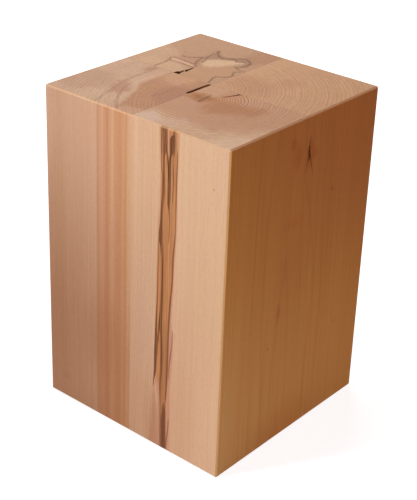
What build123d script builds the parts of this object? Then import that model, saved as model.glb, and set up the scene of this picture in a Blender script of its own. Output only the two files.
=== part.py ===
from build123d import *
import os

# A solid wood block for a seat or a side table. Four square beams stand on end, side by side, and are glued face
# to face. The block was planed square after gluing, so the two glue planes lie a little off its middle.
# Millimetres, +Z up. The origin is the middle of the base. The front is the -Y side.

# Driving dimensions
block_width = 300.0
block_depth = 296.0
block_height = 450.0
arris = 2.0

# Glue planes, measured from the middle of the block
side_seam_x = -1.5
cross_seam_y = -2.0

# Depth of the splits in the end grain, and how wide a split still is at its bottom, as a share of its mouth
torn_check_depth = 34.0
straight_check_depth = 40.0
hair_check_depth = 16.0
root_share = 0.2

# Half of the straight check's mouth. Its other half would be the neighbouring beam, which didn't split.
straight_check_width = 3.7
straight_check_ends = (-47.0, -2.8)

# The hole that a dead pin knot leaves on the right side
knot_hole_depth = 5.0

# A cut that runs past a face, so that it leaves no skin behind
overrun = 5.0

# Mouths of the splits on the top face, as x, y. Each one opens at a glue line and runs to a point.
torn_check_tip = [
    (-59.6, 31.0),
    (-60.6, 25.5),
    (-60.2, 19.5),
    (-62.6, 15.5),
    (-59.4, 14.0),
    (-55.6, 9.2),
    (-56.4, 14.2),
    (-57.6, 20.0),
    (-57.9, 25.5),
]
torn_check_mouth = [
    (-61.7, 14.2),
    (-62.7, 11.0),
    (-62.2, 7.6),
    (-65.6, 3.6),
    (-66.2, -0.4),
    (-64.8, cross_seam_y - overrun),
    (-57.4, cross_seam_y - overrun),
    (-56.9, 0.6),
    (-58.6, 4.6),
    (-58.9, 8.6),
    (-59.8, 12.0),
]
hair_check_mouth = [
    (41.6, cross_seam_y + overrun),
    (42.0, -2.6),
    (44.6, -5.6),
    (42.4, -10.4),
    (40.6, -16.2),
    (37.4, -24.6),
    (41.9, -16.6),
    (44.0, -10.6),
    (46.7, -6.0),
    (43.9, -2.4),
    (43.4, cross_seam_y + overrun),
]

# The knot hole on the right side, as y, z
knot_hole_mouth = [
    (2.2, 411.0),
    (2.6, 403.0),
    (4.0, 397.0),
    (5.8, 392.5),
    (6.7, 397.5),
    (5.4, 404.5),
    (3.4, 411.5),
]

top_face = Plane.XY.offset(block_height)
right_face = Plane(origin=(block_width / 2, 0, 0), x_dir=(0, 1, 0), z_dir=(1, 0, 0))


def squared_block():
    """The whole block, planed square, with a small bevel along every edge."""
    block = Box(block_width, block_depth, block_height, align=(Align.CENTER, Align.CENTER, Align.MIN))
    return chamfer(block.edges(), arris)


def beam(block, side, row):
    """One of the four beams: side is -1 for left and 1 for right, row is -1 for front and 1 for rear."""
    corner = Pos(side_seam_x, cross_seam_y, 0) * Box(
        block_width,
        block_depth,
        block_height,
        align=(
            Align.MIN if side > 0 else Align.MAX,
            Align.MIN if row > 0 else Align.MAX,
            Align.MIN,
        ),
    )
    return block & corner


def split(plane, mouth, spine, depth):
    """A wedge-shaped split: open at a face of the block, and closing on its spine towards its bottom."""
    start, end = Vector(*spine[0]), Vector(*spine[1])
    along = (end - start).normalized()
    root = []
    for point in mouth:
        reach = Vector(*point) - start
        foot = start + along * reach.dot(along)
        root.append(foot + (Vector(*point) - foot) * root_share)
    mouth_face = plane * make_face(Polyline(*mouth, close=True))
    root_face = plane.offset(-depth) * make_face(Polyline(*root, close=True))
    return loft([mouth_face, root_face], ruled=True)


def straight_check():
    """The long check beside the glue line. It is widest in the middle, and both its ends are blunt."""
    low, high = straight_check_ends
    half_mouth = [
        (straight_check_width * 0.55, low),
        (straight_check_width * 0.93, low + 2.0),
        (straight_check_width, (low + high) / 2),
        (straight_check_width * 0.9, high - 3.0),
        (straight_check_width * 0.6, high),
    ]
    left_half = [(side_seam_x - x, y) for x, y in half_mouth]
    right_half = [(side_seam_x + x, y) for x, y in reversed(half_mouth)]
    spine = [(side_seam_x, low), (side_seam_x, high)]
    return split(top_face, left_half + right_half, spine, straight_check_depth)


block = squared_block()

# The beam at the front left, with the straight check along its glued side
front_left_beam = beam(block, -1, -1) - straight_check()

# The beam at the front right holds the pith. A hairline check runs into it from the glue line.
front_right_beam = beam(block, 1, -1)
front_right_beam -= split(top_face, hair_check_mouth, [(45.2, -5.0), (37.4, -24.6)], hair_check_depth)

# The beam at the rear left has the torn check, in two lengths with a standing splinter between them
rear_left_beam = beam(block, -1, 1)
rear_left_beam -= split(top_face, torn_check_tip, [(-57.5, 11.0), (-59.6, 31.0)], torn_check_depth * 0.7)
rear_left_beam -= split(top_face, torn_check_mouth, [(-61.6, -2.0), (-61.2, 14.2)], torn_check_depth)

# The beam at the rear right, with the knot hole near the top of its outer side
rear_right_beam = beam(block, 1, 1)
rear_right_beam -= split(right_face, knot_hole_mouth, [(5.8, 392.5), (2.8, 411.5)], knot_hole_depth)

beams = {
    "front_left_beam": front_left_beam,
    "front_right_beam": front_right_beam,
    "rear_left_beam": rear_left_beam,
    "rear_right_beam": rear_right_beam,
}

os.makedirs("parts", exist_ok=True)
for node, shape in beams.items():
    solid = shape.solids()[0]
    export_step(solid, f"parts/{node}.step")
    print(node, "solids", len(shape.solids()), "volume", round(solid.volume), "valid", solid.is_valid)
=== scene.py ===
from math import cos, radians, sin
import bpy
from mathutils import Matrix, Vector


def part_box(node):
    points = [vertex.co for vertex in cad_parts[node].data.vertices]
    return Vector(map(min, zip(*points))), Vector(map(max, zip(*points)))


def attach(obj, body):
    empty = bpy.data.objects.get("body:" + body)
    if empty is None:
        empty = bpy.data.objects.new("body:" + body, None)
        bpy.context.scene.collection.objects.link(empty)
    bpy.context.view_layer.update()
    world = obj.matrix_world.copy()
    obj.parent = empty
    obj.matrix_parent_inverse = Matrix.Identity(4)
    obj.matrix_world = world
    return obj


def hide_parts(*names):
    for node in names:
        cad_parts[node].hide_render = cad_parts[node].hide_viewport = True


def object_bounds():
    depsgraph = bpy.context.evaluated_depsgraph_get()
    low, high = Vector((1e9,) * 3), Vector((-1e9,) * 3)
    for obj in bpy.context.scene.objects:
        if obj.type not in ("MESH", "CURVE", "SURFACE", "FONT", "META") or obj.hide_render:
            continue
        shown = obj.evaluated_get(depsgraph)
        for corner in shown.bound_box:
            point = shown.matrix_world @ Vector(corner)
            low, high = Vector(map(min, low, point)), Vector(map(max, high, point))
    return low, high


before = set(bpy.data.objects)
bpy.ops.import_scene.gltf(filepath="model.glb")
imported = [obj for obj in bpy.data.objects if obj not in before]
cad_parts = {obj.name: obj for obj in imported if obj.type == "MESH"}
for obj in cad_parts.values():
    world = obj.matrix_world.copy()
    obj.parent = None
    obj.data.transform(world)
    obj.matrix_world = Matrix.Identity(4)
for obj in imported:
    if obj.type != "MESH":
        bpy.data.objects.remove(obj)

from types import SimpleNamespace

import bmesh
import bpy
import numpy
from mathutils import Matrix, Vector, noise

cad_low, cad_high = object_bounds()
scene = bpy.context.scene
scene.view_settings.view_transform = "Standard"
mm = 0.001

# The camera stands to the right of the block's front edge and looks down on the top. Its lens and its place
# come from the block's own corners and its 300 by 296 by 450 mm.
camera_turn = radians(39.4162)
camera_height_angle = radians(26.3396)
camera_roll = radians(2.2036)
camera_place = Vector((0.95898, -1.1664, 1.0011))
camera_lens = 91.674
camera_shift_y = -0.05

camera_data = bpy.data.cameras.new("camera")
camera_data.lens = camera_lens
camera_data.sensor_width = 36.0
camera_data.shift_y = camera_shift_y
camera = bpy.data.objects.new("camera", camera_data)
scene.collection.objects.link(camera)
backward = Vector((
    sin(camera_turn) * cos(camera_height_angle),
    -cos(camera_turn) * cos(camera_height_angle),
    sin(camera_height_angle),
))
level = Vector((cos(camera_turn), sin(camera_turn), 0.0))
upright = backward.cross(level)
rolled_right = level * cos(camera_roll) + upright * sin(camera_roll)
rolled_up = upright * cos(camera_roll) - level * sin(camera_roll)
camera.matrix_world = Matrix.Translation(camera_place) @ Matrix(
    (rolled_right, rolled_up, backward)
).transposed().to_4x4()
scene.camera = camera


# The floor is a plain white sheet, much larger than the block. The camera sees it close to pure white, with
# only the block's soft contact shadow left on it.
def put(tree, value, socket):
    """Gives a node's input a value, or joins it to another node's output."""
    if isinstance(value, bpy.types.NodeSocket):
        tree.links.new(value, socket)
    else:
        socket.default_value = value


def add(tree, kind, inputs=None, **settings):
    """Adds a shader node with its settings, and fills its inputs by name or number."""
    node = tree.nodes.new("ShaderNode" + kind)
    for name, value in settings.items():
        setattr(node, name, value)
    for name, value in (inputs or {}).items():
        put(tree, value, node.inputs[name])
    return node


def maths(tree, operation, *values):
    """One sum on one to three values."""
    node = add(tree, "Math", operation=operation)
    for socket, value in zip(node.inputs, values):
        put(tree, value, socket)
    return node.outputs[0]


def white_ray(tree):
    """1 where the camera, a gloss or a clear material looks at the background, and 0 for its light."""
    path = add(tree, "LightPath")
    seen = maths(tree, "MAXIMUM", path.outputs["Is Camera Ray"], path.outputs["Is Glossy Ray"])
    return maths(tree, "MAXIMUM", seen, path.outputs["Is Transmission Ray"])


floor_half = 12.0
floor_own_white = 0.88
floor_material = bpy.data.materials.new("floor_white")
floor_material.use_nodes = True
floor_tree = floor_material.node_tree
floor_tree.nodes.clear()
floor_paint = add(floor_tree, "BsdfPrincipled", {
    "Base Color": (0.35, 0.35, 0.35, 1.0),
    "Roughness": 0.9,
    "Specular IOR Level": 0.0,
    "Emission Color": (1.0, 1.0, 1.0, 1.0),
    "Emission Strength": maths(floor_tree, "MULTIPLY", white_ray(floor_tree), floor_own_white),
})
add(floor_tree, "OutputMaterial", {"Surface": floor_paint.outputs["BSDF"]})

floor_mesh = bmesh.new()
bmesh.ops.create_grid(floor_mesh, x_segments=1, y_segments=1, size=floor_half)
floor_data = bpy.data.meshes.new("floor")
floor_mesh.to_mesh(floor_data)
floor_mesh.free()
floor_data.materials.append(floor_material)
floor = bpy.data.objects.new("floor", floor_data)
scene.collection.objects.link(floor)


# The light is soft and comes from the front left, and is strongest on the upper right of the front face. The
# right side stands in warm shade, with some light thrown back up by the floor. A dim panel lights the rear.
def hang(name, kind, place, target, watts, tint):
    """Hangs one lamp and turns it to what it lights."""
    data = bpy.data.lights.new(name, kind)
    data.energy = watts
    data.color = tint
    lamp = bpy.data.objects.new(name, data)
    lamp.location = place
    lamp.rotation_euler = (Vector(target) - Vector(place)).to_track_quat("-Z", "Y").to_euler()
    lamp.visible_camera = False
    scene.collection.objects.link(lamp)
    return data


# Where each panel hangs and points, its width in metres, its watts and its tint
panels = {
    "front_panel": ((-0.2, -2.2, 0.5), (0.0, 0.0, 0.25), 1.2, 14.9, (1.0, 0.57, 0.34)),
    "top_panel": ((-0.55, -0.1, 2.2), (0.0, 0.0, 0.45), 0.9, 24.5, (1.0, 1.0, 1.0)),
    "side_panel": ((1.9, 0.3, 0.7), (0.0, 0.0, 0.25), 1.0, 6.5, (1.0, 0.1, 0.0)),
    "low_panel": ((0.6, -0.45, 0.05), (0.15, -0.1, 0.1), 0.3, 1.6, (0.88, 1.0, 0.84)),
    "rear_panel": ((-1.6, 1.7, 1.0), (0.0, 0.0, 0.25), 1.4, 40.0, (1.0, 1.0, 1.0)),
}
for name, (place, target, size, watts, tint) in panels.items():
    hang(name, "AREA", place, target, watts, tint).size = size

spot_bulb = 0.13

# Where each spot hangs and points, its cone in degrees, its watts and its tint
spots = {
    "high_spot": ((0.1, -2.0, 0.7), (0.1, -0.148, 0.5), 24.0, 93.0, (0.67, 0.86, 1.0)),
    "left_spot": ((-0.3, -2.0, 0.9), (-0.12, -0.148, 0.55), 20.0, 21.0, (1.0, 1.0, 0.94)),
    "low_spot": ((-0.8, -1.8, 1.2), (0.3, -0.148, -0.1), 18.0, 141.0, (0.72, 0.85, 1.0)),
    "near_side_spot": ((1.8, -0.25, 0.35), (0.15, -0.12, -0.1), 26.0, 25.0, (0.07, 0.27, 1.0)),
    "far_side_spot": ((1.8, 0.4, 0.35), (0.15, 0.12, -0.06), 24.0, 15.0, (1.0, 0.92, 0.31)),
}
for name, (place, target, cone, watts, tint) in spots.items():
    spot = hang(name, "SPOT", place, target, watts, tint)
    spot.spot_size = radians(cone)
    spot.spot_blend = 1.0
    spot.shadow_soft_size = spot_bulb

room_light = 0.02
world = bpy.data.worlds.new("white_room")
world.use_nodes = True
world_tree = world.node_tree
world_tree.nodes.clear()
seen_or_lit = maths(world_tree, "MAXIMUM", white_ray(world_tree), room_light)
room = add(world_tree, "Background", {"Color": (1.0, 1.0, 1.0, 1.0), "Strength": seen_or_lit})
add(world_tree, "OutputWorld", {"Surface": room.outputs[0]})
scene.world = world


# The front right beam is squared beech, stood on end and glued to its two neighbours. It holds the pith, with
# fine rings round it, and a dark streak runs down its front face. A hairline check runs into it from the glue
# line. Its top is made of squares of about 1 mm, so that it can carry the outlines drawn on it.
block_top = cad_high.z
block_height = round(block_top / mm)
arris = 2.0 * mm
arris_rub = 0.35 * mm
top_squares = 148


def squared_beam(node):
    """The beam as planed: its outer edges are taken off at 45 degrees, and then lightly rubbed."""
    low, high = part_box(node)
    mesh = bmesh.new()
    bmesh.ops.create_cube(mesh, size=1.0)
    bmesh.ops.scale(mesh, vec=high - low, verts=mesh.verts)
    bmesh.ops.translate(mesh, vec=(low + high) / 2, verts=mesh.verts)

    def outside(face):
        middle = face.calc_center_median()
        gaps = [min(middle[axis] - cad_low[axis], cad_high[axis] - middle[axis]) for axis in range(3)]
        return min(gaps) < arris

    outer_edges = [edge for edge in mesh.edges if all(outside(face) for face in edge.link_faces)]
    bevels = bmesh.ops.bevel(
        mesh, geom=outer_edges, offset=arris, offset_type="OFFSET", segments=1, profile=0.5,
        affect="EDGES", material=-1,
    )["faces"]
    rims = [
        edge for edge in mesh.edges
        if any(face in bevels for face in edge.link_faces) and all(outside(side) for side in edge.link_faces)
    ]
    bmesh.ops.bevel(
        mesh, geom=rims, offset=arris_rub, offset_type="OFFSET", segments=2, profile=0.5,
        affect="EDGES", material=-1,
    )
    top = max(mesh.faces, key=lambda face: face.calc_center_median().z)
    bmesh.ops.subdivide_edges(mesh, edges=list(top.edges), cuts=top_squares - 1, use_grid_fill=True)
    return mesh


def drying_split(plane, mouth, spine, depth, root_share=0.2, torn=0.25 * mm, fibre_length=12 * mm):
    """The hollow of a drying split: open at the face, closing on its spine, and torn along the fibres.

    The mouth, the spine and the depth are in millimetres, on the plane of the face that has split.
    """
    depth_steps = 12
    cuts_in_each_side = 4
    above_face = 1.0 * mm
    torn_seed = 7
    start, end = (Vector((x * mm, y * mm, 0.0)) for x, y in spine)
    along = (end - start).normalized()
    split = bmesh.new()
    face = split.faces.new([split.verts.new((x * mm, y * mm, above_face)) for x, y in mouth])
    bmesh.ops.subdivide_edges(split, edges=list(face.edges), cuts=cuts_in_each_side)
    face = split.faces[:][0]
    share = 1.0
    for step in range(depth_steps + 1):
        grown = bmesh.ops.extrude_face_region(split, geom=[face])["geom"]
        if step:
            bmesh.ops.delete(split, geom=[face], context="FACES_ONLY")
        face = next(item for item in grown if isinstance(item, bmesh.types.BMFace))
        new_share = 1.0 - (1.0 - root_share) * step / depth_steps
        for vert in face.verts:
            flat = Vector((vert.co.x, vert.co.y, 0.0))
            foot = start + along * (flat - start).dot(along)
            flat = foot + (flat - foot) * new_share / share
            vert.co = Vector((flat.x, flat.y, -depth * mm * step / depth_steps))
        share = new_share
    noise.seed_set(torn_seed)
    for vert in split.verts:
        fibre = noise.noise_vector(Vector((vert.co.x / mm, vert.co.y / mm, vert.co.z / fibre_length)))
        vert.co += Vector((fibre.x, fibre.y, 0.0)) * torn
    bmesh.ops.recalc_face_normals(split, faces=split.faces)
    for side in split.faces:
        side.material_index = 1
    bmesh.ops.transform(split, matrix=plane, verts=split.verts)
    return split


def placed(mesh, name):
    """Makes an object of a finished mesh."""
    data = bpy.data.meshes.new(name)
    mesh.to_mesh(data)
    mesh.free()
    piece = bpy.data.objects.new(name, data)
    scene.collection.objects.link(piece)
    return piece


def cut(piece, hollow):
    """Takes a hollow out of a piece for good. The new walls keep the hollow's second material."""
    tool = placed(hollow, "hollow")
    taking = piece.modifiers.new("split", "BOOLEAN")
    taking.operation = "DIFFERENCE"
    taking.solver = "EXACT"
    taking.object = tool
    shaped = bpy.data.meshes.new_from_object(piece.evaluated_get(bpy.context.evaluated_depsgraph_get()))
    piece.modifiers.clear()
    spent = (piece.data, tool.data)
    piece.data = shaped
    bpy.data.objects.remove(tool)
    for data in spent:
        bpy.data.meshes.remove(data)
    shaped.name = piece.name


def distance_to(line, points):
    """How far each point is from a line drawn through a few corners, in millimetres."""
    nearest = numpy.full(len(points), numpy.inf)
    for start, end in zip(line[:-1], line[1:]):
        start, reach = numpy.array(start), numpy.subtract(end, start)
        share = numpy.clip((points - start) @ reach / (reach @ reach), 0.0, 1.0)
        nearest = numpy.minimum(nearest, numpy.linalg.norm(points - start - share[:, None] * reach, axis=1))
    return nearest


def rounded(outline, cuts=5):
    """The same closed outline with its corners swept round."""
    ends = [numpy.array(point) for point in outline[-1:] + outline + outline[:2]]
    swept = []
    for a, b, c, d in zip(ends, ends[1:], ends[2:], ends[3:]):
        for t in numpy.linspace(0.0, 1.0, cuts, endpoint=False):
            bend = (c - a) * t + (2 * a - 5 * b + 4 * c - d) * t * t + (3 * b - a - 3 * c + d) * t ** 3
            swept.append(tuple(b + bend / 2))
    return swept + swept[:1]


def depth_inside(outline, points):
    """How far inside a closed outline each point is, in millimetres. Outside it the depth is below zero."""
    inside = numpy.zeros(len(points), dtype=bool)
    for (ax, ay), (bx, by) in zip(outline[:-1], outline[1:]):
        if ay != by:
            level_with = (ay > points[:, 1]) != (by > points[:, 1])
            inside ^= level_with & (points[:, 0] < ax + (bx - ax) * (points[:, 1] - ay) / (by - ay))
    return numpy.where(inside, 1.0, -1.0) * distance_to(outline, points)


def mark_top(piece, name, line, closed):
    """Stores on the piece how far each point of its top is from a drawn line, or inside a drawn outline."""
    data = piece.data
    places = numpy.empty(len(data.vertices) * 3)
    data.vertices.foreach_get("co", places)
    places = places.reshape(-1, 3) / mm
    measured = depth_inside(rounded(line), places[:, :2]) if closed else distance_to(line, places[:, :2])
    below_top = places[:, 2] < (block_top - 2 * arris) / mm
    far_off = 100.0
    measured[below_top] = -far_off if closed else far_off
    data.attributes.new(name, "FLOAT", "POINT").data.foreach_set("value", measured)


def colour(red, green, blue):
    """A colour as read off a swatch, 0 to 255, in the renderer's own numbers."""
    parts = [part / 255 for part in (red, green, blue)]
    light = [part / 12.92 if part <= 0.04045 else ((part + 0.055) / 1.055) ** 2.4 for part in parts]
    return (*light, 1.0)


def stretched(tree, vector, steps):
    """The same place, counted in steps that have a size of their own along each axis."""
    return add(tree, "VectorMath", {0: vector, 1: steps}, operation="DIVIDE").outputs[0]


def mottle(tree, vector, detail=2.0):
    """Soft random mottling from 0 to 1, one step of the vector wide."""
    return add(tree, "TexNoise", {"Vector": vector, "Scale": 1.0, "Detail": detail}).outputs[0]


def mottle_along(tree, value, step, detail=1.0):
    """Random mottling along one value, one step wide."""
    counted = maths(tree, "DIVIDE", value, step)
    node = add(tree, "TexNoise", {"W": counted, "Scale": 1.0, "Detail": detail}, noise_dimensions="1D")
    return node.outputs[0]


def rise(tree, value, low, high):
    """0 below low, 1 above high, and a smooth rise between."""
    inputs = {"Value": value, "From Min": low, "From Max": high}
    return add(tree, "MapRange", inputs, interpolation_type="SMOOTHSTEP").outputs[0]


def blend(tree, mask, under, over, mode="MIX"):
    """Lays one colour over another, where the mask is 1."""
    node = add(tree, "Mix", {0: mask, 6: under, 7: over}, data_type="RGBA", blend_type=mode)
    return node.outputs[2]


def separate(tree, vector):
    """The three parts of a vector."""
    return add(tree, "SeparateXYZ", {0: vector}).outputs[:]


def new_group(name, inputs, outputs):
    """An empty shader group. Each input has a starting value, and each output a kind."""
    group = bpy.data.node_groups.new(name, "ShaderNodeTree")
    for socket, value in inputs.items():
        kind = "NodeSocketVector" if isinstance(value, tuple) else "NodeSocketFloat"
        group.interface.new_socket(socket, in_out="INPUT", socket_type=kind).default_value = value
    for socket, kind in outputs.items():
        group.interface.new_socket(socket, in_out="OUTPUT", socket_type="NodeSocket" + kind)
    return group, group.nodes.new("NodeGroupInput").outputs, group.nodes.new("NodeGroupOutput").inputs


def use(tree, group, inputs):
    """Places a shader group and fills its inputs."""
    node = tree.nodes.new("ShaderNodeGroup")
    node.node_tree = group
    for name, value in inputs.items():
        put(tree, value, node.inputs[name])
    return node.outputs


# Growth rings: how far out from the pith a place is, with the slow wander that every real ring has. The pith
# is given by its place across the block, and by the height from which the trunk's taper is counted. Sizes are
# in millimetres. Steps have a size along each axis, longest up the tree.
wander_steps = (55.0, 55.0, 420.0)
ripple_steps = (9.0, 9.0, 160.0)
ripple_reach = 1.4
growth_rings, given, result = new_group(
    "growth_rings",
    {"Point": (0.0, 0.0, 0.0), "Pith": (0.0, 0.0, 0.0), "Taper": 0.02, "Wander": 5.0},
    {"Radius": "Float", "Angle": "Float"},
)
tree = growth_rings
drift = add(tree, "TexNoise", {
    "Vector": stretched(tree, given["Point"], wander_steps), "Scale": 1.0, "Detail": 2.0,
}).outputs["Color"]
drift = add(tree, "VectorMath", {0: drift, 1: (0.5, 0.5, 0.5)}, operation="SUBTRACT").outputs[0]
drift = add(tree, "VectorMath", {0: drift, "Scale": given["Wander"]}, operation="SCALE").outputs[0]
from_pith = add(tree, "VectorMath", {0: given["Point"], 1: given["Pith"]}, operation="SUBTRACT").outputs[0]
from_pith = add(tree, "VectorMath", {0: from_pith, 1: drift}, operation="ADD").outputs[0]
ring_x, ring_y, ring_z = separate(tree, from_pith)
flat = add(tree, "VectorMath", {0: from_pith, 1: (1.0, 1.0, 0.0)}, operation="MULTIPLY").outputs[0]
reach = add(tree, "VectorMath", {0: flat}, operation="LENGTH").outputs["Value"]
ripple = mottle(tree, stretched(tree, given["Point"], ripple_steps))
reach = maths(tree, "MULTIPLY_ADD", ripple, ripple_reach, reach)
put(tree, maths(tree, "MULTIPLY_ADD", ring_z, given["Taper"], reach), result["Radius"])
put(tree, maths(tree, "ARCTAN2", ring_y, ring_x), result["Angle"])


# Beech figure: late wood at the end of each ring, bands of rings, fibres, ray flecks and slow clouds of tone.
# It gives a tint for the plain wood, and how high the grain stands. Rings grow wider outwards from the pith.
def swing(tree, value, strength):
    """Mottling turned into a share above or below none."""
    off_middle = maths(tree, "SUBTRACT", value, 0.5)
    return maths(tree, "MULTIPLY", off_middle, maths(tree, "MULTIPLY", strength, 2.0))


def by_grain(tree, end_grain, on_sides, on_end):
    """One place in the noise for the long grain and another for the end grain."""
    return add(tree, "Mix", {0: end_grain, 4: on_sides, 5: on_end}, data_type="VECTOR").outputs[1]


# Lengths are in millimetres. Fibre arcs and rays are counted in each radian round the pith.
rings_in_first_mm = 0.9605
ring_widening = 0.75
uneven_years = 11.0
late_sharpness, late_middle = 2.0, 0.33
clear_ring_steps = (26.0, 26.0, 120.0)
fibre_steps = (0.6, 0.6, 40.0)
fibre_arcs, fibre_arc_width = 12.0, 1.2
long_fibre_steps = (2.4, 2.4, 260.0)
fleck_steps = (1.4, 1.4, 5.0)
rays, ray_length = 130.0, 22.0
ring_band, fine_ring = 16.0, 2.6
pore_steps = (1.3, 1.3, 40.0)
end_grain_gain, pore_gain = 2.4, 2.5
cloud_steps = (24.0, 24.0, 260.0)
ochre_steps = (15.0, 15.0, 180.0)
full_light = 1.01
green_depth, blue_depth, ochre_in_green = 1.3, 1.6, 0.4
late_height = -0.5

beech_figure, given, result = new_group(
    "beech_figure",
    {
        "Point": (0.0, 0.0, 0.0), "Radius": 0.0, "Angle": 0.0, "End Grain": 0.0,
        "Bands": 0.03, "Rings": 0.02, "Late": 0.07, "Fibre": 0.055, "Flecks": 0.055, "Clouds": 0.04,
    },
    {"Tint": "Color", "Height": "Float"},
)
tree = beech_figure
point, radius, angle, end_grain = (given[name] for name in ("Point", "Radius", "Angle", "End Grain"))
ring_count = maths(tree, "MULTIPLY", maths(tree, "POWER", radius, ring_widening), rings_in_first_mm)
year = maths(tree, "ADD", ring_count, mottle_along(tree, radius, uneven_years))
late = maths(tree, "POWER", maths(tree, "FRACT", year), late_sharpness)
late = maths(tree, "SUBTRACT", late, late_middle)
clearness = rise(tree, mottle(tree, stretched(tree, point, clear_ring_steps)), 0.2, 0.7)
late = maths(tree, "MULTIPLY", late, maths(tree, "MULTIPLY_ADD", clearness, 0.8, 0.2))
arc_place = add(tree, "CombineXYZ", {
    0: maths(tree, "MULTIPLY", angle, fibre_arcs), 1: maths(tree, "DIVIDE", radius, fibre_arc_width),
}).outputs[0]
fine_fibre = mottle(tree, by_grain(tree, end_grain, stretched(tree, point, fibre_steps), arc_place), 3.0)
long_fibre = mottle(tree, stretched(tree, point, long_fibre_steps))
ray_place = add(tree, "CombineXYZ", {
    0: maths(tree, "MULTIPLY", angle, rays), 1: maths(tree, "DIVIDE", radius, ray_length),
}).outputs[0]
flecks = mottle(tree, by_grain(tree, end_grain, stretched(tree, point, fleck_steps), ray_place), 1.0)
flecks = rise(tree, flecks, 0.5, 0.7)
ring_share = maths(tree, "MULTIPLY_ADD", end_grain, end_grain_gain, 1.0)
bands = swing(tree, mottle_along(tree, radius, ring_band, 2.0), given["Bands"])
light = maths(tree, "ADD", full_light, bands)
ring_swing = swing(tree, mottle_along(tree, radius, fine_ring, 2.0), given["Rings"])
light = maths(tree, "MULTIPLY_ADD", ring_swing, ring_share, light)
light = maths(tree, "MULTIPLY_ADD", swing(tree, fine_fibre, given["Fibre"]), ring_share, light)
light = maths(tree, "ADD", light, swing(tree, long_fibre, given["Fibre"]))
pores = swing(tree, mottle(tree, stretched(tree, point, pore_steps), 3.0), given["Fibre"])
light = maths(tree, "MULTIPLY_ADD", pores, maths(tree, "MULTIPLY", end_grain, pore_gain), light)
late_loss = maths(tree, "MULTIPLY", maths(tree, "MULTIPLY", late, given["Late"]), ring_share)
light = maths(tree, "SUBTRACT", light, late_loss)
light = maths(tree, "SUBTRACT", light, maths(tree, "MULTIPLY", flecks, given["Flecks"]))
clouds = swing(tree, mottle(tree, stretched(tree, point, cloud_steps), 3.0), given["Clouds"])
light = maths(tree, "ADD", light, clouds)
ochre = swing(tree, mottle(tree, stretched(tree, point, ochre_steps), 3.0), given["Clouds"])
ochre = maths(tree, "MULTIPLY", ochre, maths(tree, "ADD", end_grain, 1.0))
green_share = maths(tree, "MULTIPLY_ADD", ochre, ochre_in_green, 1.0)
tint = add(tree, "CombineColor", {
    0: light,
    1: maths(tree, "MULTIPLY", maths(tree, "POWER", light, green_depth), green_share),
    2: maths(tree, "MULTIPLY", maths(tree, "POWER", light, blue_depth), maths(tree, "SUBTRACT", 1.0, ochre)),
})
put(tree, tint.outputs[0], result["Tint"])
rough_grain = maths(tree, "ADD", fine_fibre, maths(tree, "MULTIPLY", late, late_height))
put(tree, rough_grain, result["Height"])

# Ragged patch: a stain within a drawn outline, with an uneven edge
ragged_patch, given, result = new_group(
    "ragged_patch",
    {"Inside": 0.0, "Point": (0.0, 0.0, 0.0), "Soft": 6.0, "Ragged": 4.0, "Lump": 9.0},
    {"Mask": "Float"},
)
tree = ragged_patch
lump = add(tree, "CombineXYZ", {0: given["Lump"], 1: given["Lump"], 2: given["Lump"]}).outputs[0]
lumps = add(tree, "VectorMath", {0: given["Point"], 1: lump}, operation="DIVIDE").outputs[0]
uneven = maths(tree, "SUBTRACT", mottle(tree, lumps, 3.0), 0.5)
edge = maths(tree, "MULTIPLY_ADD", uneven, maths(tree, "MULTIPLY", given["Ragged"], 2.0), given["Inside"])
half_soft = maths(tree, "MULTIPLY", given["Soft"], 0.5)
put(tree, rise(tree, edge, maths(tree, "MULTIPLY", half_soft, -1.0), half_soft), result["Mask"])

# Drawn line: a thin dark line in the end grain, wavering, darker in places, with a smudge beside it
drawn_line, given, result = new_group(
    "drawn_line",
    {"Distance": 100.0, "Point": (0.0, 0.0, 0.0), "Width": 1.0, "Soft": 1.0, "Ragged": 0.8, "Smudge": 4.0},
    {"Mask": "Float"},
)
tree = drawn_line
waver_steps = (3.0, 3.0, 3.0)
fade_steps = (10.0, 10.0, 10.0)
smudge_strength = 0.4
uneven = maths(tree, "SUBTRACT", mottle(tree, stretched(tree, given["Point"], waver_steps), 3.0), 0.5)
off = maths(tree, "MULTIPLY_ADD", uneven, maths(tree, "MULTIPLY", given["Ragged"], 2.0), given["Distance"])
half_width = maths(tree, "MULTIPLY", given["Width"], 0.5)
clear = rise(tree, off, half_width, maths(tree, "ADD", half_width, given["Soft"]))
depth = rise(tree, mottle(tree, stretched(tree, given["Point"], fade_steps)), 0.2, 0.55)
smudge_edge = maths(tree, "ADD", half_width, given["Smudge"])
smudge = maths(tree, "SUBTRACT", 1.0, rise(tree, off, 0.0, smudge_edge))
smudge = maths(tree, "MULTIPLY", smudge, smudge_strength)
line_core = maths(tree, "MULTIPLY", maths(tree, "SUBTRACT", 1.0, clear), depth)
put(tree, maths(tree, "MAXIMUM", line_core, smudge), result["Mask"])

# Strand: a run of stained fibres down a face, from where its middle and its edges lie at each height
strand_mask, given, result = new_group(
    "strand_mask",
    {
        "Across": 0.0, "Middle": 0.0, "Half Width": 1.0, "Fibres": 0.5, "Threads": 0.0, "Soft": 1.2,
        "Ragged": 1.5, "Parted": 0.0,
    },
    {"Mask": "Float"},
)
tree = strand_mask
off = maths(tree, "ABSOLUTE", maths(tree, "SUBTRACT", given["Across"], given["Middle"]))
inside = maths(tree, "SUBTRACT", given["Half Width"], off)
uneven = maths(tree, "MULTIPLY", maths(tree, "SUBTRACT", given["Fibres"], 0.5), given["Ragged"])
inside = maths(tree, "MULTIPLY_ADD", uneven, 2.0, inside)
half_soft = maths(tree, "MULTIPLY", given["Soft"], 0.5)
covered = rise(tree, inside, maths(tree, "MULTIPLY", half_soft, -1.0), half_soft)
whole = maths(tree, "SUBTRACT", 1.0, maths(tree, "MULTIPLY", given["Threads"], given["Parted"]))
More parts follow.
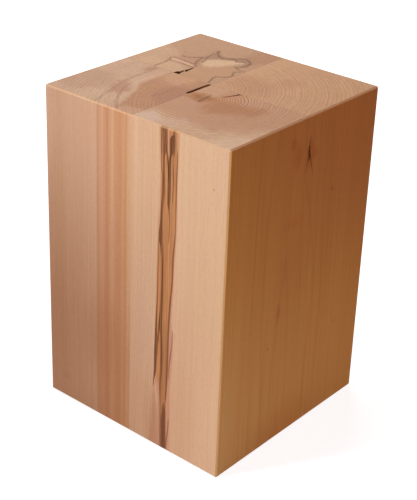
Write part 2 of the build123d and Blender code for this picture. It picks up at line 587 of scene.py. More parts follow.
put(tree, maths(tree, "MULTIPLY", covered, whole), result["Mask"])

# Speck: a soft uneven oval on a face
speck_mask, given, result = new_group(
    "speck_mask",
    {
        "Across": 0.0, "Height": 0.0, "Middle": 0.0, "Middle Height": 0.0, "Half Width": 1.0,
        "Half Height": 1.0, "Fibres": 0.5,
    },
    {"Mask": "Float"},
)
tree = speck_mask
aside = maths(tree, "SUBTRACT", given["Across"], given["Middle"])
aside = maths(tree, "DIVIDE", aside, given["Half Width"])
above = maths(tree, "SUBTRACT", given["Height"], given["Middle Height"])
above = maths(tree, "DIVIDE", above, given["Half Height"])
reach = maths(tree, "SQRT", maths(tree, "MULTIPLY_ADD", aside, aside, maths(tree, "MULTIPLY", above, above)))
reach = maths(tree, "MULTIPLY_ADD", maths(tree, "SUBTRACT", given["Fibres"], 0.5), 0.8, reach)
put(tree, maths(tree, "SUBTRACT", 1.0, rise(tree, reach, 0.2, 1.1)), result["Mask"])

# Bevel highlight: a painted highlight that lightens the bevels, most of all round the top and on its right
painted_bevel_highlight, given, result = new_group("painted_bevel_highlight", {"Normal": (0.0, 0.0, 1.0)}, {"Mask": "Float"})
tree = painted_bevel_highlight
facing = add(tree, "VectorMath", {0: given["Normal"]}, operation="ABSOLUTE").outputs[0]
facing_x, facing_y, facing_z = separate(tree, facing)
flattest = maths(tree, "MAXIMUM", maths(tree, "MAXIMUM", facing_x, facing_y), facing_z)
slanting = rise(tree, maths(tree, "SUBTRACT", 1.0, flattest), 0.08, 0.24)
to_right = rise(tree, separate(tree, given["Normal"])[0], 0.5, 0.7)
highlight_upright, highlight_round_top, more_on_right = 0.1, 0.24, 0.6
share = maths(tree, "MULTIPLY_ADD", to_right, more_on_right, highlight_round_top)
share = maths(tree, "MULTIPLY_ADD", rise(tree, facing_z, 0.2, 0.5), share, highlight_upright)
put(tree, maths(tree, "MULTIPLY", slanting, share), result["Mask"])

# Glue line: 1 where a beam meets its neighbours
glue_line, given, result = new_group(
    "glue_line", {"Point": (0.0, 0.0, 0.0), "Glue": (0.0, 0.0, 0.0)}, {"Mask": "Float"},
)
tree = glue_line
off_glue = add(tree, "VectorMath", {0: given["Point"], 1: given["Glue"]}, operation="SUBTRACT").outputs[0]
off_glue = add(tree, "VectorMath", {0: off_glue}, operation="ABSOLUTE").outputs[0]
off_glue = maths(tree, "MINIMUM", *separate(tree, off_glue)[:2])
put(tree, maths(tree, "SUBTRACT", 1.0, rise(tree, off_glue, 0.1, 0.7)), result["Mask"])


stained_fibre_steps = (1.3, 1.3, 60.0)
pale_thread_steps = (1.1, 1.1, 110.0)


def beech(name, node, pith, taper, end_swatch, board_swatch, shaded_side_swatch, **figure_strengths):
    """Starts the wood of one beam: where each place is in the tree, and the plain colour of each face.

    The shaded side swatch is for the right side, where the wood turns deeper orange: partly its own colour
    and partly painted warm shade. The board swatch is for the front and for the sides not seen.
    """
    material = bpy.data.materials.new(name)
    material.use_nodes = True
    tree = material.node_tree
    where = add(tree, "TexCoord")
    point = where.outputs["Object"]
    point = add(tree, "VectorMath", {0: point, "Scale": 1.0 / mm}, operation="SCALE").outputs[0]
    x, y, z = separate(tree, point)
    normal_x, normal_y, normal_z = separate(tree, where.outputs["Normal"])
    end_grain = rise(tree, maths(tree, "ABSOLUTE", normal_z), 0.35, 0.9)
    front = rise(tree, maths(tree, "MULTIPLY", normal_y, -1.0), 0.35, 0.9)
    right = rise(tree, normal_x, 0.35, 0.9)
    rings = use(tree, growth_rings, {"Point": point, "Pith": pith, "Taper": taper})
    figure = use(tree, beech_figure, {
        "Point": point, "Radius": rings["Radius"], "Angle": rings["Angle"], "End Grain": end_grain,
        **figure_strengths,
    })
    # The right side takes the shaded side swatch: partly the wood's own colour, partly painted warm shade
    shade = blend(tree, right, colour(*board_swatch), colour(*shaded_side_swatch))
    shade = blend(tree, end_grain, shade, colour(*end_swatch))
    low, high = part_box(node)
    glue_x, glue_y = (min((low[axis], high[axis]), key=abs) / mm for axis in range(2))
    return SimpleNamespace(
        material=material, tree=tree, point=point, x=x, y=y, z=z,
        end_grain=end_grain, front=front, right=right, shade=shade,
        tint=figure["Tint"], height=figure["Height"], late=figure["Tint"].node.inputs["Late"],
        glue=use(tree, glue_line, {"Point": point, "Glue": (glue_x, glue_y, 0.0)})["Mask"],
        painted_highlight=use(tree, painted_bevel_highlight, {"Normal": where.outputs["Normal"]})["Mask"],
        fibres=mottle(tree, stretched(tree, point, stained_fibre_steps), 3.0),
        threads=rise(tree, mottle(tree, stretched(tree, point, pale_thread_steps), 3.0), 0.45, 0.6),
    )


def stain(wood, mask, swatch, strength=1.0):
    """Lets a stain into the wood."""
    mask = maths(wood.tree, "MULTIPLY", mask, strength)
    wood.shade = blend(wood.tree, mask, wood.shade, colour(*swatch))


def stain_top(piece, wood, stains):
    """Stains the end grain within drawn outlines, each laid over the ones before it.

    A stain gives its swatch, its strength, how soft and how ragged its edge is, the size of the lumps in that
    edge, and the corners of its outline.
    """
    for name, (swatch, strength, soft, ragged, lump, outline) in stains.items():
        mark_top(piece, name, outline, True)
        inside = add(wood.tree, "Attribute", attribute_name=name).outputs["Fac"]
        patch = use(wood.tree, ragged_patch, {
            "Inside": inside, "Point": wood.point, "Soft": soft, "Ragged": ragged, "Lump": lump,
        })
        stain(wood, maths(wood.tree, "MULTIPLY", patch["Mask"], wood.end_grain), swatch, strength)


def top_line(piece, wood, name, line, swatch, strength=1.0, width=1.0, soft=1.0, ragged=0.8, smudge=4.0):
    """Draws a dark line in the end grain."""
    mark_top(piece, name, line, False)
    distance = add(wood.tree, "Attribute", attribute_name=name).outputs["Fac"]
    drawn = use(wood.tree, drawn_line, {
        "Distance": distance, "Point": wood.point, "Width": width, "Soft": soft, "Ragged": ragged,
        "Smudge": smudge,
    })
    stain(wood, maths(wood.tree, "MULTIPLY", drawn["Mask"], wood.end_grain), swatch, strength)


def strand(wood, across, face, course, swatch, strength=1.0, soft=1.2, ragged=1.5, parted=0.0):
    """Stains a strand of fibres on one face.

    Each step of its course gives a height, a place across the face and half the strand's width there, which
    is below zero where the strand has ended. Curves run from 0 to 1, so both are kept as a share of a span.
    """
    tree = wood.tree
    height = maths(tree, "DIVIDE", wood.z, block_height)
    across_span, half_width_span = (-150.0, 300.0), (-10.0, 40.0)
    curves = []
    for column, (low, span) in ((1, across_span), (2, half_width_span)):
        node = add(tree, "FloatCurve", {"Value": height})
        points = node.mapping.curves[0].points
        places = [(row[0] / block_height, (row[column] - low) / span) for row in sorted(course)]
        for end, place in zip((points[0], points[-1]), (places[0], places[-1])):
            end.location = place
        for place in places[1:-1]:
            points.new(*place)
        for curve_point in points:
            curve_point.handle_type = "AUTO_CLAMPED"
        node.mapping.extend = "HORIZONTAL"
        node.mapping.update()
        curves.append(maths(tree, "MULTIPLY_ADD", node.outputs[0], span, low))
    run = use(tree, strand_mask, {
        "Across": across, "Middle": curves[0], "Half Width": curves[1], "Fibres": wood.fibres,
        "Threads": wood.threads, "Soft": soft, "Ragged": ragged, "Parted": parted,
    })
    stain(wood, maths(tree, "MULTIPLY", run["Mask"], face), swatch, strength)


def specks(wood, across, face, ovals):
    """Stains soft uneven ovals on one face: middle and size, both across and up, swatch and strength."""
    for (middle, middle_height), (width, height), swatch, strength in ovals:
        oval = use(wood.tree, speck_mask, {
            "Across": across, "Height": wood.z, "Middle": middle, "Middle Height": middle_height,
            "Half Width": width / 2, "Half Height": height / 2, "Fibres": wood.fibres,
        })
        stain(wood, maths(wood.tree, "MULTIPLY", oval["Mask"], face), swatch, strength)


def oil_finish(wood):
    """Ends the wood of one beam: a thin oil, matt on the end grain and a little smoother on the sides, with a
    painted highlight on the bevels.
    """
    glue_brown, glue_on_sides, more_glue_on_end = (126, 84, 56), 0.09, 0.26
    highlight_pale, highlight_strength = (244, 206, 158), 0.6
    side_roughness, more_on_end = 0.6, 0.15
    tree = wood.tree
    glue_strength = maths(tree, "MULTIPLY_ADD", wood.end_grain, more_glue_on_end, glue_on_sides)
    stain(wood, maths(tree, "MULTIPLY", wood.glue, glue_strength), glue_brown)
    shade = blend(tree, 1.0, wood.shade, wood.tint, "MULTIPLY")
    # Painted highlight: the bevels are lightened towards a pale cream
    shade = blend(tree, maths(tree, "MULTIPLY", wood.painted_highlight, highlight_strength), shade, colour(*highlight_pale))
    shader = tree.nodes["Principled BSDF"]
    shader.inputs["Specular IOR Level"].default_value = 0.08
    put(tree, shade, shader.inputs["Base Color"])
    roughness = maths(tree, "MULTIPLY_ADD", wood.end_grain, more_on_end, side_roughness)
    put(tree, roughness, shader.inputs["Roughness"])
    bump = add(tree, "Bump", {"Height": wood.height, "Distance": 0.05 * mm, "Strength": 0.6})
    put(tree, bump.outputs[0], shader.inputs["Normal"])
    return wood.material


def shaded_torn_beech():
    """The raw wood inside a split, never planed or oiled, its browns darkened as painted shade for the depth
    of the split.
    """
    dark_fibre, pale_fibre = (112, 60, 30), (158, 98, 58)
    torn_steps = (0.5 * mm, 0.5 * mm, 12 * mm)
    material = bpy.data.materials.new("shaded_torn_beech")
    material.use_nodes = True
    tree = material.node_tree
    point = add(tree, "TexCoord").outputs["Object"]
    fibres = mottle(tree, stretched(tree, point, torn_steps), 3.0)
    shader = tree.nodes["Principled BSDF"]
    shader.inputs["Roughness"].default_value = 0.85
    shader.inputs["Specular IOR Level"].default_value = 0.05
    # Painted shade: both browns are far darker than the beech outside
    put(tree, blend(tree, fibres, colour(*dark_fibre), colour(*pale_fibre)), shader.inputs["Base Color"])
    bump = add(tree, "Bump", {"Height": fibres, "Distance": 0.3 * mm})
    put(tree, bump.outputs[0], shader.inputs["Normal"])
    return material


def finish_piece(piece, wood, node):
    """Gives a beam its two woods, and its place in the block."""
    piece.data.materials.append(oil_finish(wood))
    piece.data.materials.append(inside_split)
    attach(piece, "root")
    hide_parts(node)


top_plane = Matrix.Translation((0.0, 0.0, block_top))
inside_split = shaded_torn_beech()
hair_check_mouth = [
    (41.6, 3.0), (42.0, -2.6), (44.6, -5.6), (42.4, -10.4), (40.6, -16.2), (37.4, -24.6),
    (41.9, -16.6), (44.0, -10.6), (46.7, -6.0), (43.9, -2.4), (43.4, 3.0),
]
front_right = placed(squared_beam("front_right_beam"), "front_right_block_beam")
cut(front_right, drying_split(top_plane, hair_check_mouth, [(45.2, -5.0), (37.4, -24.6)], 16.0))

# Its taper is slight, so that the rings run nearly straight down its sides. It is counted from far down the
# tree, and so sets the rings of the end grain about 9 mm further out from the pith.
# Its right side swatch is deeper orange than its board: partly the wood's own colour, partly painted warm
# shade
wood = beech(
    "front_right_beech", "front_right_beam", (28.0, -44.0, -1800.0), 0.004,
    (187, 140, 107), (220, 178, 144), (199, 146, 80),
)

# Late wood shows most in the clear rings beside the pith, and least on the front face
plain_late, more_in_clear_rings, less_on_front = 0.075, 0.14, -0.05
clear_rings = use(wood.tree, speck_mask, {
    "Across": wood.x, "Height": wood.y, "Middle": 52.0, "Middle Height": -22.0,
    "Half Width": 40.0, "Half Height": 40.0,
})["Mask"]
late_wood = maths(wood.tree, "MULTIPLY_ADD", clear_rings, more_in_clear_rings, plain_late)
put(wood.tree, maths(wood.tree, "MULTIPLY_ADD", wood.front, less_on_front, late_wood), wood.late)

front_right_stains = {
    "pale_rim": ((206, 166, 134), 0.7, 30.0, 14.0, 22.0, [
        (-10, -118), (60, -120), (110, -112), (160, -60), (160, -160), (-10, -160)]),
    "between_checks": ((194, 148, 113), 0.8, 14.0, 8.0, 14.0, [
        (-4, 3), (-4, -34), (12, -36), (34, -24), (38, 3)]),
    "grey_cream": ((206, 174, 151), 0.7, 14.0, 10.0, 8.0, [
        (2, -152), (2, -132), (12, -118), (24, -128), (34, -134), (36, -152)]),
    "pale_swirl": ((200, 160, 134), 0.6, 12.0, 8.0, 10.0, [
        (34, -152), (36, -126), (52, -114), (66, -118), (60, -132), (52, -152)]),
    "ring_heart": ((184, 130, 91), 0.7, 12.0, 8.0, 12.0, [
        (30, -2), (52, -4), (66, -22), (66, -42), (38, -42), (32, -24)]),
    "warm_wedge": ((168, 110, 70), 0.74, 26.0, 11.0, 15.0, [
        (36, -38), (62, -33), (99, -25), (108, -41), (88, -60), (70, -73), (56, -79), (44, -72),
        (34, -54)]),
    "pith_brown": ((166, 105, 60), 0.8, 13.0, 10.0, 7.0, [
        (0, -36), (30, -34), (36, -46), (24, -60), (4, -54)]),
    "pale_tip": ((220, 186, 154), 0.5, 20.0, 12.0, 12.0, [
        (114, -152), (118, -126), (134, -112), (154, -108), (154, -152)]),
    "pith_ochre": ((150, 98, 58), 0.9, 5.0, 3.0, 4.0, [
        (7, -43), (11, -40), (16, -42), (17, -46), (12, -49), (8, -47)]),
}
stain_top(front_right, wood, front_right_stains)
top_line(front_right, wood, "pith_streak", [(22.5, -36), (23.5, -46), (25.5, -58)], (124, 80, 52), 0.85,
         1.6, 2.0)
top_line(front_right, wood, "pith_cross", [(15, -52), (21, -47), (30, -42)], (140, 92, 60), 0.6, 1.0, 2.0)
# A dark line along the edge of the hair check's mouth
top_line(front_right, wood, "hair_check_edge", [(46.7, -3.7), (44.5, -9), (41, -17), (37, -26)], (140, 84, 50),
         0.85, 1.8, 1.4, 0.5)

# Fine lines in the board left of the streak, which lean over to the left near the floor
lean_starts, lean, line_gap = 200.0, 0.05, 2.4
below = maths(wood.tree, "MAXIMUM", maths(wood.tree, "SUBTRACT", lean_starts, wood.z), 0.0)
leaning = maths(wood.tree, "MULTIPLY_ADD", below, lean, wood.x)
lines = rise(wood.tree, mottle_along(wood.tree, leaning, line_gap), 0.48, 0.7)
left_of_streak = maths(wood.tree, "SUBTRACT", 1.0, rise(wood.tree, wood.x, 36.0, 42.0))
lines = maths(wood.tree, "MULTIPLY", maths(wood.tree, "MULTIPLY", lines, left_of_streak), wood.front)
stain(wood, lines, (190, 141, 108), 0.27)
specks(wood, wood.x, wood.front, [
    ((27, 172), (90, 270), (230, 192, 168), 0.32),
    ((84, 62), (60, 210), (206, 156, 120), 0.3),
    ((32, 45), (34, 130), (190, 134, 98), 0.18),
])

# The dark streak on its front face: ochre wood between reddish borders, with nearly black strands along it.
# Each run of stained fibres gives its colour, its strength, how soft and ragged its edges are, how far pale
# threads part it, and its course.
streak_runs = {
    "red_border": ((204, 144, 114), 0.75, 3.0, 1.6, 0.0, [
        (450, 59, 16.0), (420, 59, 15.4), (390, 59.5, 14.2), (354, 59.5, 14.2), (324, 59, 15.0),
        (280, 57.5, 14.6), (240, 56.5, 14.2), (200, 55.5, 13.6), (160, 56.5, 15.2), (130, 56, 14.8),
        (107, 55.5, 14.0), (94, 57, 12.0), (60, 59.5, 10.0), (0, 60, 9.2)]),
    "ochre_core": ((203, 141, 92), 0.92, 1.8, 1.2, 0.0, [
        (450, 58.5, 13.0), (420, 59, 13.2), (390, 59.5, 12.4), (354, 59.5, 12.6), (324, 58.5, 13.0),
        (280, 57, 12.8), (240, 56, 12.2), (200, 54, 11.2), (130, 53.5, 10.4), (107, 54.5, 9.2),
        (94, 57, 6.4), (60, 58, 5.4), (0, 59, 5.0)]),
    "brown_threads": ((156, 100, 64), 0.42, 1.6, 1.0, 1.0, [
        (450, 58, 12.5), (354, 59.5, 11.5), (280, 57.5, 11.0), (200, 57, 8.5), (60, 58, 4.5), (0, 58, 4.0)]),
    "low_brown": ((160, 106, 72), 0.4, 3.0, 1.0, 0.3, [
        (215, 58, -6), (170, 58, 3.5), (110, 58, 4.0), (60, 58, 3.0), (0, 58, 3.0)]),
    "pink_gap": ((206, 150, 121), 0.85, 1.4, 0.6, 0.0, [
        (450, 57, 1.3), (425, 57.5, 0.9), (416, 58, 0.3), (408, 58, -3)]),
    "left_rim": ((112, 66, 44), 0.9, 1.2, 0.6, 0.25, [
        (318, 45, -3), (300, 45, 0.6), (240, 45, 0.7), (200, 44, 1.1), (180, 43.5, 1.6), (160, 44.5, 3.0),
        (145, 44, 3.1), (130, 43.5, 2.4), (115, 43, 1.9), (103, 41.5, 1.0), (92, 40.5, 0.4), (84, 40, -3)]),
    "left_strand": ((110, 66, 42), 0.94, 1.4, 0.6, 0.35, [
        (450, 52, 3.6), (425, 52.5, 3.7), (412, 51, 1.6), (400, 51, 1.5), (385, 51, 2.2), (370, 51.5, 2.4),
        (350, 50, 2.2), (325, 49, 2.5), (308, 48.5, 3.6), (290, 51, 2.2), (270, 52, 1.8), (220, 52, 2.1),
        (185, 51, 2.6), (165, 52.5, 1.5), (130, 53.5, 1.9), (95, 52.5, 1.5), (65, 53, 1.0), (0, 54, 0.9)]),
    "left_bundle": ((120, 74, 52), 0.8, 1.4, 0.6, 0.45, [
        (450, 47, 2.0), (430, 47, 1.5), (410, 47.5, 0.9), (395, 48, 0.9), (384, 49, -3)]),
    "inner_hair": ((114, 68, 44), 0.85, 1.0, 0.5, 0.0, [
        (216, 49, -3), (200, 49, 0.5), (180, 48, 1.0), (165, 47.5, 1.0), (152, 47, -3)]),
    "middle_left_arm": ((98, 58, 40), 0.9, 1.2, 0.6, 0.1, [
        (434, 54, -3), (424, 55, 0.9), (414, 56.5, 1.1), (402, 58, 1.2), (388, 59, 0.9), (378, 59.5, -3)]),
    "middle_strand": ((92, 54, 36), 0.95, 1.4, 0.6, 0.25, [
        (450, 64.5, -3), (443, 64, 0.8), (436, 63, 3.3), (424, 63, 3.0), (414, 61, 1.6), (402, 60, 2.1),
        (370, 60, 2.5), (355, 60, 2.1), (344, 61, 0.9), (328, 62, 0.6), (305, 61.5, 0.3), (292, 61.5, -3)]),
    "right_bundle": ((110, 66, 44), 0.85, 1.4, 0.6, 0.4, [
        (450, 66, 1.6), (436, 66.5, 2.0), (424, 66.5, 1.5), (412, 65, 0.9), (400, 65.5, 1.0),
        (380, 66.5, 0.8), (360, 66, 0.5), (346, 66, -3)]),
    "right_rim": ((118, 70, 44), 0.88, 1.2, 0.6, 0.15, [
        (438, 71.5, -3), (420, 72, 0.6), (370, 71.5, 0.8), (325, 71.5, 0.6), (306, 70.5, 1.0), (285, 69, 1.3),
        (255, 68.5, 1.2), (220, 66, 1.4), (190, 64.5, 1.4), (130, 63.5, 1.3), (100, 63, 1.2), (80, 62, 0.7),
        (68, 61, -3)]),
    "right_red_hair": ((160, 98, 74), 0.8, 1.4, 0.6, 0.0, [
        (194, 71, -3), (182, 71, 0.4), (160, 70, 0.9), (145, 68, 1.2), (130, 66.5, 1.0), (112, 66, 0.4),
        (100, 65, -3)]),
    "foot_blob": ((112, 68, 48), 0.92, 1.6, 1.0, 0.35, [
        (78, 58.5, -3), (68, 59, 1.8), (58, 59, 3.0), (45, 58.5, 4.2), (22, 59, 4.4), (0, 59, 4.0)]),
    "foot_rim": ((138, 84, 62), 0.8, 1.2, 0.6, 0.0, [
        (62, 67.5, -3), (50, 67.5, 0.4), (36, 67, 0.9), (18, 65, 0.9), (0, 63.5, 1.0)]),
    "foot_smudge": ((192, 134, 104), 0.65, 12.0, 5.0, 0.0, [
        (112, 42, -8), (88, 42, 0.0), (62, 43.5, 5.0), (35, 43.5, 8.0), (0, 43, 11.0)]),
}
for swatch, strength, soft, ragged, parted, course in streak_runs.values():
    strand(wood, wood.x, wood.front, course, swatch, strength, soft, ragged, parted)

specks(wood, wood.x, wood.front, [((128, 395), (3, 5), (170, 112, 72), 0.7)])

# The legs of a faint arch of rings on its right side. The arch spans the glue line, so the rear right beam
# has the same ones, and each beam shows the part that lies on it.
arch_legs = {
    "outer_left": [
        (450, -58, -3), (430, -61, 0.5), (280, -72, 1.2), (170, -70, 1.2), (40, -62, 0.4), (10, -61, -3)],
    "inner_left": [
        (274, -28, -3), (262, -29, 0.8), (210, -36, 1.2), (150, -42, 1.0), (60, -44, 0.4), (30, -44, -3)],
    "inner_right": [
        (274, -28, -3), (262, -27, 0.8), (210, -20, 1.2), (150, -17, 1.2), (40, -14, 0.6), (10, -14, -3)],
    "outer_right": [
        (380, -3, -3), (370, 0, 0.5), (320, 15, 1.0), (200, 32, 1.0), (30, 28, 0.6), (0, 28, -3)],
    "far_left": [(450, -88, 0.5), (300, -92, 0.8), (120, -90, 0.8), (0, -86, 0.4)],
    "far_right": [(300, 44, -3), (280, 46, 0.5), (160, 52, 0.8), (20, 50, 0.4), (0, 50, -3)],
}


def arch_of_rings(wood):
    """Draws the arch on the right side, as faint lines with a soft band along each."""
    band_overlap = 3.0
    for course in arch_legs.values():
        strand(wood, wood.y, wood.right, course, (164, 104, 52), 0.2, 2.4, 2.0, 0.4)
        wide = [(height, place, half_width + band_overlap) for height, place, half_width in course]
        strand(wood, wood.y, wood.right, wide, (182, 122, 66), 0.2, 6.0, 2.5, 0.5)
    # Soft patches of the arch's tone, and a paler oval low by the front corner, which is painted light thrown
    # up by the floor
    specks(wood, wood.y, wood.right, [
        ((-19, 315), (74, 22), (176, 108, 58), 0.14),
        ((-18, 250), (84, 170), (184, 118, 66), 0.2),
        ((-15, 2), (200, 120), (184, 114, 48), 0.45),
        ((-138, 90), (60, 280), (206, 158, 104), 0.3),
    ])


arch_of_rings(wood)
specks(wood, wood.y, wood.right, [
    ((-28, 422), (16, 22), (176, 104, 58), 0.4),
    ((-18, 403), (22, 50), (180, 110, 62), 0.45),
    ((-38, 196), (13, 34), (172, 100, 58), 0.42),
    ((-55, 150), (3, 9), (150, 88, 46), 0.6),
])
finish_piece(front_right, wood, "front_right_beam")


# The rear right beam is squared beech, glued at its front and its left. It has wide arcs of rings on its end,
# and plain wood on its sides. A pin knot died in its outer side near the top, and left a narrow dark hole
# with the fibres parting round it.
right_plane = Matrix.Translation((cad_high.x, 0.0, 0.0)) @ Matrix(((0, 0, 1), (1, 0, 0), (0, 1, 0))).to_4x4()
knot_hole_mouth = [
    (2.2, 411.0), (2.6, 403.0), (4.0, 397.0), (5.8, 392.5), (6.7, 397.5), (5.4, 404.5), (3.4, 411.5),
]
rear_right = placed(squared_beam("rear_right_beam"), "rear_right_block_beam")
cut(rear_right, drying_split(right_plane, knot_hole_mouth, [(5.8, 392.5), (2.8, 411.5)], 5.0))
# Its right side swatch is deeper orange than its board: partly the wood's own colour, partly painted warm
# shade
wood = beech(
    "rear_right_beech", "rear_right_beam", (-24.0, -34.0, 0.0), 0.014,
    (193, 147, 109), (216, 174, 140), (198, 146, 80), Late=0.06, Rings=0.03,
)
rear_right_stains = {
    "brown_cloud": ((182, 134, 100), 0.6, 20.0, 12.0, 12.0, [
        (52, 66), (60, 84), (74, 88), (84, 76), (78, 62), (64, 54)]),
    "pale_cloud": ((197, 153, 114), 0.4, 24.0, 10.0, 20.0, [
        (-4, 152), (-4, 70), (10, 60), (28, 84), (24, 120), (60, 152)]),
    "red_cloud": ((181, 132, 96), 0.65, 22.0, 12.0, 16.0, [
        (4, 52), (30, 60), (62, 44), (70, 20), (46, 4), (14, 10)]),
}
stain_top(rear_right, wood, rear_right_stains)
arch_of_rings(wood)

# The knot's dark core, the two legs of torn fibre below it, and the stained wood round it
specks(wood, wood.y, wood.right, [
    ((6, 400), (22, 56), (178, 108, 60), 0.5),
    ((17, 398), (12, 22), (172, 98, 56), 0.3),
])
knot_strands = {
    "core": [(428, 5, -3), (422, 5, 0.4), (411, 4.7, 1.4), (403, 3.8, 2.6), (396, 5, 2.8), (390, 5, 0.4),
             (384, 5, -3)],
    "left_leg": [(404, 4, -3), (396, 3, 1.4), (386, 0.8, 1.0), (376, -0.4, 0.3), (368, -1, -2)],
    "right_leg": [(402, 6, -3), (394, 7.4, 1.4), (382, 11, 1.0), (372, 14.5, 0.3), (364, 17, -2)],
}
for course in knot_strands.values():
    strand(wood, wood.y, wood.right, course, (124, 68, 28), 0.65, 2.2, 1.0)
specks(wood, wood.y, wood.right, [
    ((60.7, 335.6), (4, 7), (138, 78, 38), 0.8),
    ((90, 130), (10, 8), (176, 114, 62), 0.4),
])
finish_piece(rear_right, wood, "rear_right_beam")


# The front left beam is pale beech with red heartwood along its glued side, squared and glued as the others
# are. The long straight check opened beside the glue line when the block dried.
straight_check_mouth = [
    (-3.9, -47.0), (-5.5, -45.0), (-5.9, -24.9), (-5.4, -5.8), (-4.1, -2.8),
    (0.7, -2.8), (1.8, -5.8), (2.2, -24.9), (1.9, -45.0), (0.5, -47.0),
]
front_left = placed(squared_beam("front_left_beam"), "front_left_block_beam")
cut(front_left, drying_split(top_plane, straight_check_mouth, [(-1.5, -47.0), (-1.5, -2.8)], 40.0))
wood = beech(
    "front_left_beech", "front_left_beam", (70.0, -34.0, 0.0), 0.012,
    (195, 156, 126), (213, 170, 140), (213, 170, 140), Bands=0.012, Rings=0.012, Late=0.055,
)
front_left_stains = {
    "left_shade": ((180, 139, 110), 0.6, 18.0, 12.0, 16.0, [
        (-156, -62), (-104, -68), (-96, -100), (-108, -126), (-156, -122)]),
    "red_heart": ((178, 127, 91), 0.9, 6.0, 5.0, 9.0, [
        (-68, 5), (-69, -10), (-67, -60), (-55, -82), (-50, -98), (-38, -122), (-30, -160), (10, -160),
        (10, 5)]),
    "amber_heart": ((196, 148, 112), 0.8, 16.0, 10.0, 12.0, [
        (-66, 5), (-64, -30), (-44, -36), (-28, -26), (-22, 5)]),
    "brown_heart": ((168, 119, 89), 0.85, 18.0, 10.0, 12.0, [
        (5, -26), (-14, -32), (-30, -46), (-34, -72), (-18, -92), (5, -96)]),
    "pink_heart": ((195, 150, 120), 0.85, 14.0, 10.0, 9.0, [
        (5, -126), (-16, -128), (-30, -134), (-40, -152), (5, -156)]),
    "glue_shade": ((170, 126, 94), 0.85, 14.0, 10.0, 9.0, [
        (-96, 4), (-100, -20), (-78, -28), (-70, -16), (-72, 4)]),
    "pink_band": ((199, 159, 129), 0.75, 6.0, 5.0, 9.0, [
        (-88, 5), (-87, -45), (-84, -64), (-66, -82), (-52, -97), (-46, -122), (-60, -130), (-72, -120),
        (-62, -98), (-52, -90), (-57, -80), (-68, -60), (-70, 5)]),
    "pink_brown": ((176, 129, 100), 0.75, 10.0, 12.0, 6.0, [
        (-92, -66), (-80, -70), (-60, -88), (-66, -104), (-78, -108), (-88, -90)]),
    "pale_corner": ((200, 163, 132), 0.6, 14.0, 8.0, 9.0, [
        (-104, -118), (-84, -112), (-64, -122), (-58, -152), (-100, -152)]),
}
stain_top(front_left, wood, front_left_stains)
top_line(front_left, wood, "heart_edge", [(-90, -28), (-91, -50), (-89, -66), (-76, -112), (-64, -146)],
         (164, 120, 94), 0.5, 1.2, 2.4)
top_line(front_left, wood, "check_rim", [(-3.6, -45), (-3.9, -25), (-3.5, -5)], (110, 62, 36), 0.8, 4.6, 1.2,
         0.3, 2.0)
top_line(front_left, wood, "heart_edge_inner", [(-72, -84), (-62, -104), (-52, -120), (-27, -147)],
         (162, 116, 90), 0.5, 1.2, 3.0)
top_line(front_left, wood, "heart_wave", [(-27, -42), (-24, -60), (-27, -84)], (150, 106, 80), 0.5, 1.0, 2.4)

# The heartwood on its front face: straight bands from top to bottom, each with its place and its colour
heart_bands = [
    (-61.0, (213, 170, 140)), (-58.5, (200, 152, 119)), (-55.0, (208, 158, 127)), (-49.0, (214, 160, 128)),
    (-45.0, (207, 152, 117)), (-42.0, (197, 142, 105)), (-39.0, (206, 152, 116)), (-33.0, (217, 166, 131)),
    (-28.0, (207, 153, 117)), (-20.0, (203, 146, 106)), (-14.0, (212, 160, 121)), (-10.5, (203, 149, 110)),
    (-6.0, (216, 167, 130)), (-2.0, (214, 168, 133)),
]
band_low, band_high = heart_bands[0][0], heart_bands[-1][0]
band_waver, band_waver_steps = 3.0, (30.0, 30.0, 400.0)
waver = mottle(wood.tree, stretched(wood.tree, wood.point, band_waver_steps))
band_place = maths(wood.tree, "MULTIPLY_ADD", maths(wood.tree, "SUBTRACT", waver, 0.5), band_waver, wood.x)
band_place = add(wood.tree, "MapRange", {"Value": band_place, "From Min": band_low, "From Max": band_high})
ramp = add(wood.tree, "ValToRGB", {0: band_place.outputs[0]})
stops = ramp.color_ramp.elements
stops[0].color = colour(*heart_bands[0][1])
stops[1].color = colour(*heart_bands[-1][1])
for place, swatch in heart_bands[1:-1]:
    stops.new((place - band_low) / (band_high - band_low)).color = colour(*swatch)
wood.shade = blend(wood.tree, wood.front, wood.shade, ramp.outputs[0])
in_heart = rise(wood.tree, wood.x, -62.0, -56.0)
band_threads = maths(wood.tree, "MULTIPLY", wood.threads, in_heart)
stain(wood, maths(wood.tree, "MULTIPLY", band_threads, wood.front), (188, 132, 94), 0.1)
# Painted shade: the heartwood on the front turns darker and more orange towards the floor
low_down = maths(wood.tree, "SUBTRACT", 1.0, rise(wood.tree, wood.z, 90.0, 220.0))
heart_painted_shade = maths(wood.tree, "MULTIPLY", low_down, in_heart)
stain(wood, maths(wood.tree, "MULTIPLY", heart_painted_shade, wood.front), (190, 136, 88), 0.28)
# Ovals on the front: a small smudge low on the left, a paler top-left corner that is painted light, and
# darker ovals at the lower left and on the lower heartwood that are painted shade
specks(wood, wood.x, wood.front, [
    ((-118, 35), (26, 18), (190, 140, 108), 0.2),
    ((-152, 420), (50, 260), (226, 190, 164), 0.4),
    ((-132, 110), (90, 260), (200, 152, 122), 0.3),
    ((-54, 130), (100, 170), (188, 133, 96), 0.3),
])
finish_piece(front_left, wood, "front_left_beam")


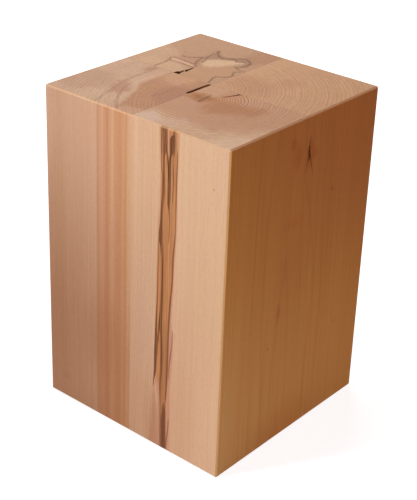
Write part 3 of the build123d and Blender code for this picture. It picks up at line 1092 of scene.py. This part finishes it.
# The rear left beam is squared beech, spalted on its end: dark zone lines wander round a bleached patch. The
# torn check opened from the glue line in two lengths, and a splinter still stands between them.
torn_check_tip = [
    (-59.6, 31.0), (-60.6, 25.5), (-60.2, 19.5), (-62.6, 15.5), (-59.4, 14.0), (-55.6, 9.2),
    (-56.4, 14.2), (-57.6, 20.0), (-57.9, 25.5),
]
torn_check_mouth = [
    (-61.7, 14.2), (-62.7, 11.0), (-62.2, 7.6), (-65.6, 3.6), (-66.2, -0.4), (-64.8, -7.0),
    (-57.4, -7.0), (-56.9, 0.6), (-58.6, 4.6), (-58.9, 8.6), (-59.8, 12.0),
]
rear_left = placed(squared_beam("rear_left_beam"), "rear_left_block_beam")
cut(rear_left, drying_split(top_plane, torn_check_tip, [(-57.5, 11.0), (-59.6, 31.0)], 23.8))
cut(rear_left, drying_split(top_plane, torn_check_mouth, [(-61.6, -2.0), (-61.2, 14.2)], 34.0))
wood = beech(
    "rear_left_beech", "rear_left_beam", (-34.0, 34.0, 0.0), 0.012,
    (183, 140, 106), (213, 170, 140), (213, 170, 140), Late=0.035,
)
rear_left_stains = {
    "pale_edge": ((197, 157, 123), 0.75, 16.0, 8.0, 9.0, [
        (-160, -10), (-160, 75), (-118, 66), (-104, 50), (-106, 30), (-70, 26), (-66, -10)]),
    "pale_left": ((212, 170, 136), 0.25, 14.0, 8.0, 9.0, [
        (-128, 2), (-126, 26), (-104, 30), (-70, 26), (-67, 2)]),
    "rear_smudge": ((174, 126, 92), 0.8, 14.0, 8.0, 9.0, [
        (-36, 150), (-40, 110), (-24, 104), (-12, 96), (0, 112), (0, 150)]),
    "inner_tan": ((187, 141, 103), 0.75, 14.0, 8.0, 9.0, [
        (-56, 44), (-36, 60), (-18, 64), (-10, 48), (-16, 22), (-14, -6), (-52, -6)]),
    "spalt": ((182, 136, 104), 0.7, 9.0, 6.0, 9.0, [
        (-104, 60), (-98, 46), (-72, 43), (-74, 66), (-78, 88), (-88, 80)]),
    "spalt_shadow": ((156, 116, 88), 0.78, 7.0, 7.0, 5.0, [
        (-80, 108), (-66, 94), (-50, 94), (-40, 104), (-28, 108), (-15, 98), (-12, 80), (-18, 74),
        (-24, 90), (-36, 88), (-50, 84), (-62, 78), (-72, 62), (-66, 44), (-74, 52), (-78, 72)]),
    "bleached": ((206, 168, 132), 0.75, 6.0, 8.0, 6.0, [
        (-67, 58), (-65, 70), (-53, 81), (-43, 88), (-38, 91), (-35, 85), (-27, 93), (-24, 86), (-30, 76),
        (-32, 66), (-40, 56), (-47, 48), (-53, 44), (-62, 49)]),
    "bleached_flakes": ((216, 180, 142), 0.4, 3.0, 9.0, 3.2, [
        (-64, 60), (-60, 71), (-50, 80), (-40, 87), (-30, 88), (-34, 72), (-42, 58), (-52, 48), (-60, 52)]),
    "pale_loop": ((205, 163, 130), 0.85, 4.0, 2.0, 9.0, [
        (-103, 42), (-73, 40), (-63, 37), (-70, 33), (-102, 33)]),
}
stain_top(rear_left, wood, rear_left_stains)
zone_lines = {
    "zone_main": [(-80, 106), (-73, 95), (-65, 88), (-55, 85), (-50, 89), (-43, 93), (-38, 91), (-35, 88),
                  (-32, 91), (-27, 95)],
    "zone_outer": [(-50, 92), (-40, 100), (-33, 106), (-28, 103), (-22, 100), (-17, 95), (-15, 85), (-18, 76),
                   (-24, 71)],
    "zone_inner": [(-24, 71), (-17, 68), (-10, 65), (-2, 66), (-7, 61), (-12, 55), (-8, 48), (-4, 41),
                   (-5, 36), (-8, 31), (-17, 25), (-17, 18), (-13, 10), (-10, 2)],
    "zone_second": [(-73, 95), (-75, 88), (-76, 81), (-73, 73), (-67, 62), (-66, 52)],
    "zone_third": [(-83, 65), (-78, 68), (-75, 58), (-72, 48), (-63, 38), (-60, 31)],
    "zone_edge": [(-103, 58), (-97, 55), (-90, 58), (-83, 65), (-78, 72)],
    "zone_loop": [(-62, 38), (-73, 42), (-93, 43), (-103, 45), (-108, 40), (-103, 31), (-87, 33), (-70, 31),
                  (-62, 30)],
    "zone_tail": [(-103, 30), (-101, 18), (-101, 1)],
}
zone_widths = {"zone_main": 1.3, "zone_outer": 1.2, "zone_inner": 0.9}
for name, line in zone_lines.items():
    top_line(rear_left, wood, name, line, (128, 88, 62), 0.9, zone_widths.get(name, 0.5), 1.6, 2.2, 3.0)
finish_piece(rear_left, wood, "rear_left_beam")
